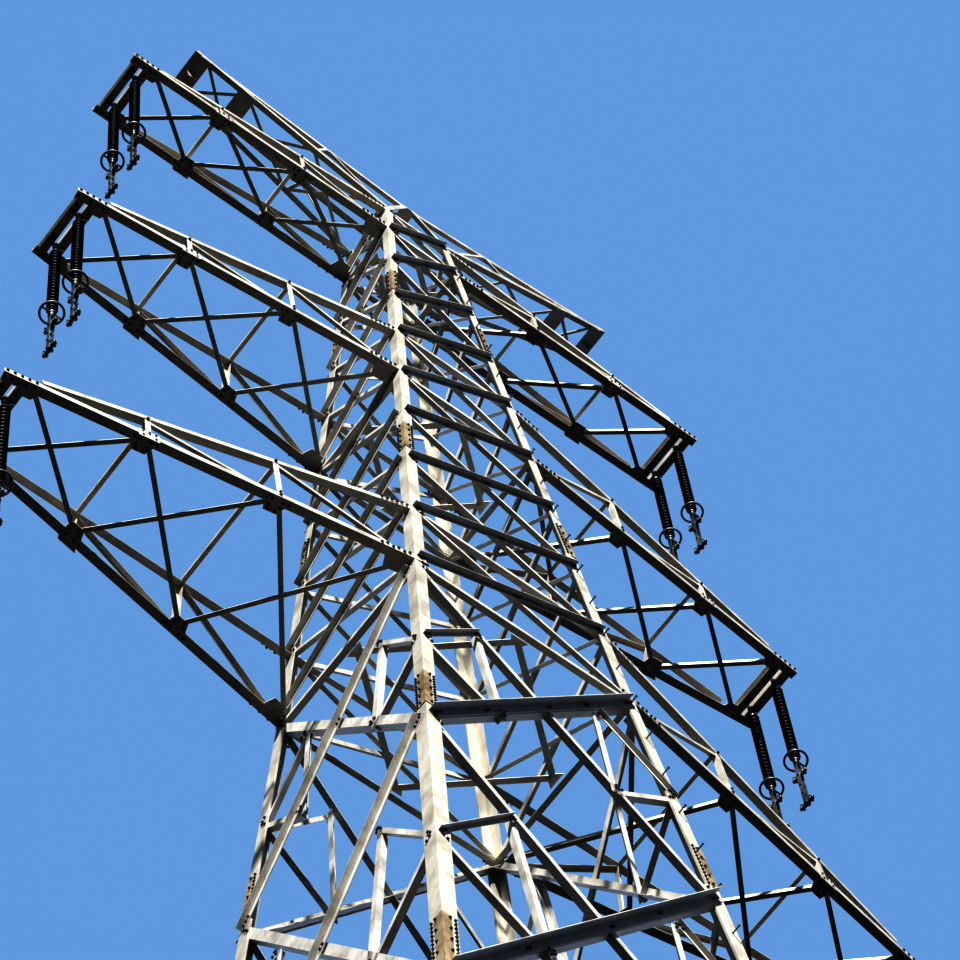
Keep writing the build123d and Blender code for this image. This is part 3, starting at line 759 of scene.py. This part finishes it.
def insulators(x, z):
    """Two polymer insulators: a core with large and small sheds by turns."""
    work = Work()
    pitch = ROD_LENGTH / SHED_PAIRS
    profile = [(0.012, 0.0)]
    for k in range(SHED_PAIRS):
        for radius, start in ((LARGE_SHED, 0.004), (SMALL_SHED, 0.004 + pitch / 2)):
            d = -k * pitch - start
            profile += [(0.0115, d), (radius - 0.001, d - 0.0085), (radius, d - 0.0105),
                        (radius - 0.0015, d - 0.0125), (0.0135, d - 0.0130)]
    profile.append((0.012, -ROD_LENGTH))
    for sy in (-1, 1):
        turned(work, Vector((x, sy * STRING_HALF, z - ROD_TOP)), UP, profile, 20)
    return work


def arc(radius, turn, count):
    """Points of a circle from its start through a turn, both ends among them."""
    angles = [turn * k / count for k in range(count + 1)]
    return [(radius * math.cos(a), radius * math.sin(a)) for a in angles]


def clevis(work, pin):
    """Two ears on a pin with a nut at each end, and the stem and cap below them."""
    outline = [*arc(0.018, math.pi, 8), (-0.016, -0.045), (-0.012, -0.058), (0.012, -0.058),
               (0.016, -0.045)]
    for start in (-0.013, 0.007):
        plate(work, spots(pin + ALONG_LINE * start, Vector((1, 0, 0)), UP, outline), ALONG_LINE, 0.006)
    turned(work, pin - ALONG_LINE * 0.022, ALONG_LINE, [(0.0088, 0), (0.0088, 0.044)], 16)
    for out in (-ALONG_LINE, ALONG_LINE):
        turned(work, pin + out * 0.0135, out, [(0.0145, 0), (0.0145, 0.003)], 16)
        nut(work, pin + out * 0.0165, out, 0.0125, 0.005)
    turned(work, pin, UP, [(0.017, -0.050), (0.018, -0.055), (0.018, -0.062), (0.009, -0.066),
                           (0.009, -0.074), (0.0145, -0.078), (0.0155, -0.084), (0.0155, -0.118),
                           (0.0140, -0.130)], 20)


RING_RADIUS = 0.0760
RING_TUBE = 0.0078


def grading_ring(work, centre):
    """A bent tube on a flat spoke, with a boss in its middle."""
    tube = [(RING_RADIUS + u, v) for u, v in arc(RING_TUBE, math.tau, 10)[:-1]]
    turned(work, centre, UP, tube, 48, closed=True)
    r = RING_RADIUS
    spoke = ((-r, -0.006), (r, -0.006), (r, 0.006), (-r, 0.006))
    plate(work, spots(centre - UP * 0.003, Vector((1, 0, 0)), ALONG_LINE, spoke), UP, 0.006)
    turned(work, centre, UP, [(0.022, -0.006), (0.022, 0.006)], 20)


# How far below the pin the bolts between the two links are, clamps not counted.
SPACER_DROPS = (1.190, CLAMP_DROPS[0] + 0.13, CLAMP_DROPS[1] - 0.13)


def links(work, pin):
    """Two flat links with rounded ends, and the bolts that go through both."""
    ends = arc(0.014, math.pi, 6)
    length = CLAMP_DROPS[1] - ROD_END - 0.075
    outline = [*ends, *((-u, -v - length) for u, v in ends)]
    for side in (-1, 1):
        out = Vector((side, 0, 0))
        top = pin + out * 0.0125 - UP * (ROD_END + 0.075)
        plate(work, spots(top, ALONG_LINE, UP, outline), out, 0.005)
        for drop in (SPACER_DROPS[0], CLAMP_DROPS[0], *SPACER_DROPS[1:], CLAMP_DROPS[1]):
            nut(work, pin + out * 0.0175 - UP * drop, out, 0.0105, 0.007)
    for drop in SPACER_DROPS:
        start = pin + Vector((-0.0125, 0, -drop))
        turned(work, start, Vector((1, 0, 0)), [(0.008, 0), (0.008, 0.025)], 14)


def clamp(work, centre):
    """A boat-shaped clamp with a keeper and two U-bolts, bored for its wire."""
    outside = [(0.0105, -0.065), (0.0130, -0.060), (0.0155, -0.035), (0.0185, -0.012), (0.0185, 0.012),
               (0.0155, 0.035), (0.0130, 0.060), (0.0105, 0.065)]
    inside = [(0.0085, 0.065), (BORE, 0.058), (BORE, -0.058), (0.0085, -0.065)]
    rings = []
    for r, d in outside + inside:
        ring = round_outline(centre + ALONG_LINE * d, ALONG_LINE, r, 20)
        if r > 0.009:
            # Flat cheeks lie between the links.
            ring = [Vector((centre.x + max(-0.0120, min(0.0120, p.x - centre.x)), p.y,
                            centre.z + (p.z - centre.z) * 1.12)) for p in ring]
        rings.append(ring)
    count, total = 20, len(rings)
    faces = [(k * count + i, k * count + (i + 1) % count, ((k + 1) % total) * count + (i + 1) % count,
              ((k + 1) % total) * count + i) for k in range(total) for i in range(count)]
    work.add([p for ring in rings for p in ring], faces, PLAIN, True)
    for d in (-0.042, 0.042):
        middle = centre + ALONG_LINE * d
        for side in (-1, 1):
            place = middle + Vector((side * 0.0135, 0, 0))
            turned(work, place, UP, [(0.0035, -0.016), (0.0035, 0.026)], 8)
            nut(work, place + UP * 0.015, UP, 0.0068, 0.006)
        # A keeper above the clamp and a saddle below it.
        for long, wide, height, thickness in ((0.009, 0.019, 0.0145, 0.003),
                                              (0.007, 0.017, -0.0185, 0.004)):
            corners = ((-long, -wide), (long, -wide), (long, wide), (-long, wide))
            level = spots(middle + UP * height, ALONG_LINE, Vector((1, 0, 0)), corners)
            plate(work, level, UP, thickness)


def fittings(x, z):
    """The clevis, end caps, grading ring, links and clamps of both strings."""
    work = Work()
    for sy in (-1, 1):
        pin = Vector((x, sy * STRING_HALF, z))
        clevis(work, pin)
        end = pin - UP * ROD_END
        turned(work, end, UP, [(0.0140, 0.002), (0.0155, -0.006), (0.0155, -0.050), (0.0105, -0.054),
                               (0.0105, -0.062), (0.0155, -0.066), (0.0155, -0.080), (0.011, -0.086)], 20)
        grading_ring(work, end - UP * 0.015)
        links(work, pin)
        for drop in CLAMP_DROPS:
            clamp(work, pin - UP * drop)
    return work


for number, height_name in enumerate(ARM_NAMES):
    for hand, hand_name in ((-1, "left"), (1, "right")):
        name = "%s_%s" % (height_name, hand_name)
        arm_node = "%s_arm_%s" % (height_name, hand_name)
        crossarm(number, hand, "%s_crossarm_%s" % (height_name, hand_name), arm_node)
        x = hand * (REACHES[number] - STRING_BACK)
        z = ARM_BOTTOMS[number] - PIN_DROP
        new_piece(name + "_sheds", insulators(x, z), name + "_strings", (SILICONE,),
                  [arm_node + "_insulators"])
        new_piece(name + "_string_hardware", fittings(x, z), name + "_strings",
                  (FITTING_STEEL,), [arm_node + "_string_fittings"])


# Camera, light and floor.

# Where the photo's camera stands, and how its picture is turned.
EYE = Vector((-8.2773, -8.6956, 0.8145))
RIGHT = Vector((0.794055, -0.604602, -0.062707))
DOWN = Vector((0.532098, 0.741266, -0.409142))
AHEAD = Vector((0.293851, 0.291515, 0.910314))
LENS = 168.75
SUN_PATH = Vector((0.62, 0.85, -1.15))
FLOOR_HALF = 8

camera_data = bpy.data.cameras.new("photo_camera")
camera_data.sensor_width = 36
camera_data.lens = LENS
camera_data.clip_end = 400
camera = bpy.data.objects.new("photo_camera", camera_data)
bpy.context.scene.collection.objects.link(camera)
turn = Matrix((RIGHT, -DOWN, -AHEAD)).transposed()
camera.matrix_world = Matrix.Translation(EYE) @ turn.to_4x4()
bpy.context.scene.camera = camera

sun_data = bpy.data.lights.new("soft_key", "SUN")
sun_data.energy = 12.0
sun_data.angle = math.radians(3)
sun_data.color = (1.0, 0.98, 0.95)
sun = bpy.data.objects.new("soft_key", sun_data)
bpy.context.scene.collection.objects.link(sun)
sun.rotation_euler = SUN_PATH.to_track_quat("-Z", "Y").to_euler()

# The camera sees a clear blue backdrop. What lights the tower is soft, and grows towards the sky.
world = bpy.data.worlds.new("studio")
world.use_nodes = True
bpy.context.scene.world = world
tree = world.node_tree
backdrop = tree.nodes["Background"]
backdrop.inputs["Color"].default_value = linear("92beec")
backdrop.inputs["Strength"].default_value = 1.0
heading = add_node(tree, "TexCoord").outputs["Generated"]
height = add_node(tree, "MapRange", Value=add_node(tree, "SeparateXYZ", Vector=heading).outputs["Z"],
                  From_Min=-0.05, From_Max=0.25, To_Min=0.012, To_Max=0.36)
# A broad soft light stands behind the tower, on the side away from the photo's camera.
behind = add_node(tree, "VectorMath", {"operation": "DOT_PRODUCT"}, _0=heading, _1=(0.66, 0.75, 0.0))
broad = add_node(tree, "MapRange", Value=behind.outputs["Value"], From_Min=0.1, From_Max=0.9,
                 To_Min=1.0, To_Max=7.0)
strength = add_node(tree, "Math", {"operation": "MULTIPLY"}, _0=height.outputs["Result"],
                    _1=broad.outputs["Result"])
fill = add_node(tree, "Background", Color=linear("b3c8ea"), Strength=strength.outputs[0])
seen = add_node(tree, "LightPath").outputs["Is Camera Ray"]
both = add_node(tree, "MixShader", _0=seen, _1=fill.outputs[0], _2=backdrop.outputs[0])
tree.links.new(both.outputs[0], tree.nodes["World Output"].inputs["Surface"])
bpy.context.scene.view_settings.view_transform = "Standard"
# The photo's shadows are hard and deep.
bpy.context.scene.view_settings.gamma = 0.57

floor_mesh = bpy.data.meshes.new("floor")
floor_corners = [(-FLOOR_HALF, -FLOOR_HALF, 0), (FLOOR_HALF, -FLOOR_HALF, 0),
                 (FLOOR_HALF, FLOOR_HALF, 0), (-FLOOR_HALF, FLOOR_HALF, 0)]
floor_mesh.from_pydata(floor_corners, [], [(0, 1, 2, 3)])
floor = bpy.data.objects.new("floor", floor_mesh)
bpy.context.scene.collection.objects.link(floor)
floor_paint, _, floor_shader = new_material("grey_floor")
floor_shader.inputs["Base Color"].default_value = linear("737577")
floor_shader.inputs["Roughness"].default_value = 0.9
floor_mesh.materials.append(floor_paint)
floor.visible_diffuse = False
floor.visible_glossy = False
floor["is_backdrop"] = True

low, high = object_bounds()
